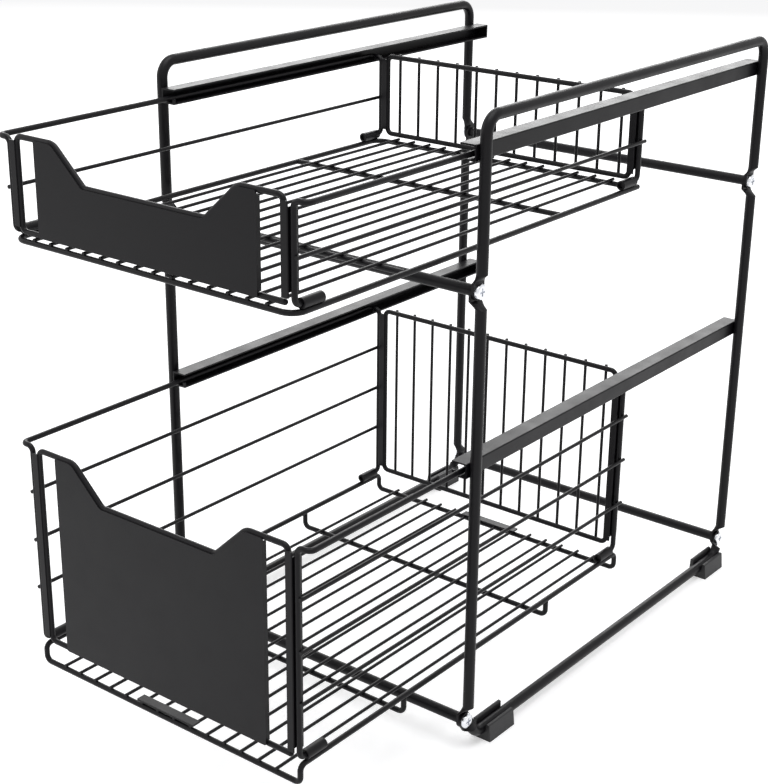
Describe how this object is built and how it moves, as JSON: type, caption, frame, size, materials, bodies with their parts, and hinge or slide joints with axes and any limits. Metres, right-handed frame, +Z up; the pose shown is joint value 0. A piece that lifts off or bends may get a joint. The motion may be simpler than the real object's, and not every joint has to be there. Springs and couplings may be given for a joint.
{
  "type": "under sink organizer",
  "caption": "Free standing steel rack with two wire baskets, one above the other, that slide out to the front on channel rails.",
  "frame": {"origin": "on the floor, under the centre of the whole object with both baskets pulled out as in the picture", "axes": "+X to the right seen from the front, +Y to the rear, +Z up; the part is close to symmetric about the plane X = 0"},
  "size_m": [0.303, 0.548, 0.464],
  "materials": {
    "black_powder_coat": "fine satin powder coat",
    "black_plastic": "moulded, matt",
    "zinc_screws": "bright zinc plating",
    "steel_inserts": "turned"
  },
  "bodies": {
    "rack": {"bottom_inserts": "steel_inserts", "bottom_screws": "zinc_screws", "front_bottom_crossbar": "black_powder_coat", "front_middle_crossbar": "black_powder_coat", "left_foot_bar": "black_powder_coat", "left_front_foot": "black_plastic", "left_front_post": "black_powder_coat", "left_lower_rail": "black_powder_coat", "left_rear_foot": "black_plastic", "left_rear_post": "black_powder_coat", "left_upper_hoop": "black_powder_coat", "left_upper_rail": "black_powder_coat", "middle_inserts": "steel_inserts", "middle_screws": "zinc_screws", "rear_bottom_crossbar": "black_powder_coat", "rear_middle_crossbar": "black_powder_coat", "right_foot_bar": "black_powder_coat", "right_front_foot": "black_plastic", "right_front_post": "black_powder_coat", "right_lower_rail": "black_powder_coat", "right_rear_foot": "black_plastic", "right_rear_post": "black_powder_coat", "right_upper_hoop": "black_powder_coat", "right_upper_rail": "black_powder_coat"},
    "upper_basket": {"upper_basket_back_panel": "black_powder_coat", "upper_basket_base": "black_powder_coat", "upper_basket_front_frame": "black_powder_coat", "upper_basket_front_left_strip": "black_powder_coat", "upper_basket_front_plate": "black_powder_coat", "upper_basket_front_right_strip": "black_powder_coat", "upper_basket_left_side": "black_powder_coat", "upper_basket_rear_left_strip": "black_powder_coat", "upper_basket_rear_right_strip": "black_powder_coat", "upper_basket_right_side": "black_powder_coat"},
    "lower_basket": {"lower_basket_back_panel": "black_powder_coat", "lower_basket_base": "black_powder_coat", "lower_basket_front_floor_strip": "black_powder_coat", "lower_basket_front_frame": "black_powder_coat", "lower_basket_front_left_strip": "black_powder_coat", "lower_basket_front_plate": "black_powder_coat", "lower_basket_front_right_strip": "black_powder_coat", "lower_basket_left_side": "black_powder_coat", "lower_basket_rear_floor_strip": "black_powder_coat", "lower_basket_rear_left_strip": "black_powder_coat", "lower_basket_rear_right_strip": "black_powder_coat", "lower_basket_right_side": "black_powder_coat"}
  },
  "joints": [
    {"name": "upper_basket_slide", "type": "slide", "parent": "rack", "child": "upper_basket", "axis": [0, -1, 0], "range_m": [-0.15, 0]},
    {"name": "lower_basket_slide", "type": "slide", "parent": "rack", "child": "lower_basket", "axis": [0, -1, 0], "range_m": [-0.15, 0]}
  ]
}
